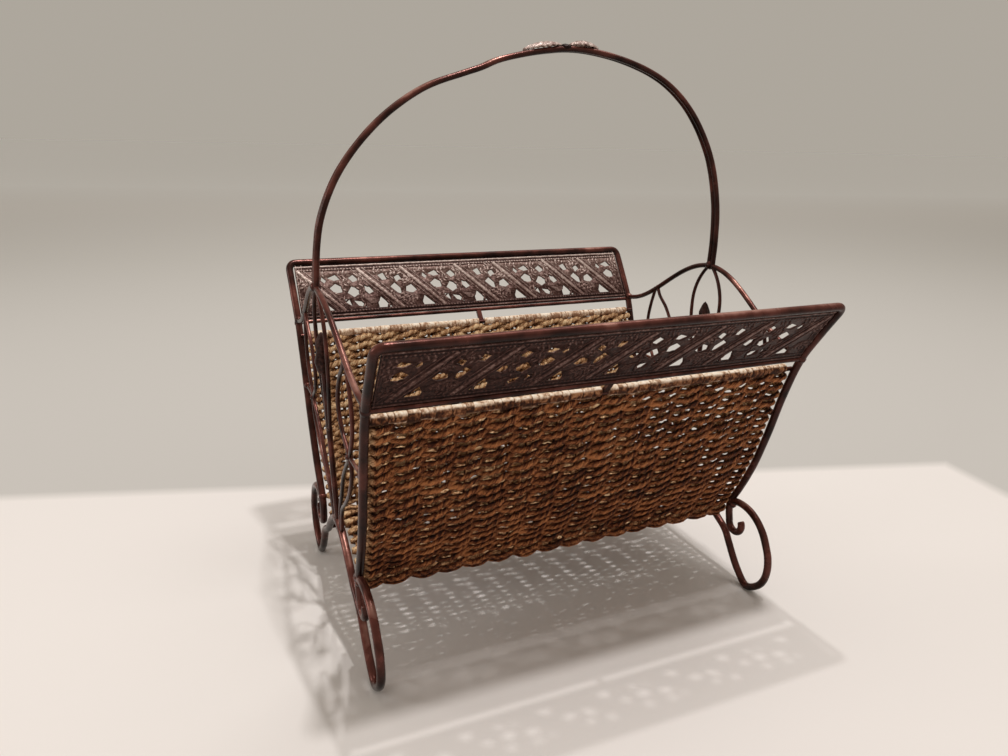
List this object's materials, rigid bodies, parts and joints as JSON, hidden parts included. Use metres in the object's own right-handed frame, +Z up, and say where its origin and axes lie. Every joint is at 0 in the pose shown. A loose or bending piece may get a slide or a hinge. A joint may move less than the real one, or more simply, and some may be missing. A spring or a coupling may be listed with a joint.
{
  "type": "magazine basket",
  "caption": "Iron rod magazine basket with pierced cast bands, scrolled ends, a woven seagrass sling and a fixed arched handle.",
  "frame": {"origin": "on the floor, under the middle of the basket", "axes": "+X along the basket towards its right end, +Y towards the rear side, +Z up; the open ends face -X and +X"},
  "size_m": [0.403, 0.358, 0.5043],
  "materials": {
    "wrought_iron": "satin dark bronze",
    "cast_trim": "satin dark bronze",
    "seagrass_weave": "dry woven grass",
    "seagrass_wrap": "dry wrapped grass"
  },
  "bodies": {
    "root": {"front_hoop": "wrought_iron", "rear_hoop": "wrought_iron", "front_band": "cast_trim", "rear_band": "cast_trim", "front_band_rod": "wrought_iron", "rear_band_rod": "wrought_iron", "front_top_bar": "wrought_iron", "rear_top_bar": "wrought_iron", "front_tab": "wrought_iron", "rear_tab": "wrought_iron", "front_left_roll": "seagrass_wrap", "front_right_roll": "seagrass_wrap", "rear_left_roll": "seagrass_wrap", "rear_right_roll": "seagrass_wrap", "left_foot_scroll": "wrought_iron", "right_foot_scroll": "wrought_iron", "left_ogee_rail": "wrought_iron", "right_ogee_rail": "wrought_iron", "left_stem": "wrought_iron", "right_stem": "wrought_iron", "left_bud": "cast_trim", "right_bud": "cast_trim", "left_front_heart_wire": "wrought_iron", "left_rear_heart_wire": "wrought_iron", "right_front_heart_wire": "wrought_iron", "right_rear_heart_wire": "wrought_iron", "left_front_outer_wire": "wrought_iron", "left_rear_outer_wire": "wrought_iron", "right_front_outer_wire": "wrought_iron", "right_rear_outer_wire": "wrought_iron", "left_front_inner_wire": "wrought_iron", "left_rear_inner_wire": "wrought_iron", "right_front_inner_wire": "wrought_iron", "right_rear_inner_wire": "wrought_iron", "left_front_link": "wrought_iron", "left_rear_link": "wrought_iron", "right_front_link": "wrought_iron", "right_rear_link": "wrought_iron", "front_bottom_bar": "wrought_iron", "rear_bottom_bar": "wrought_iron", "ridge_bar": "wrought_iron", "woven_body": "seagrass_weave", "handle_front_rod": "wrought_iron", "handle_rear_rod": "wrought_iron", "handle_bead": "cast_trim", "handle_left_leaf": "cast_trim", "handle_right_leaf": "cast_trim"}
  },
  "joints": []
}
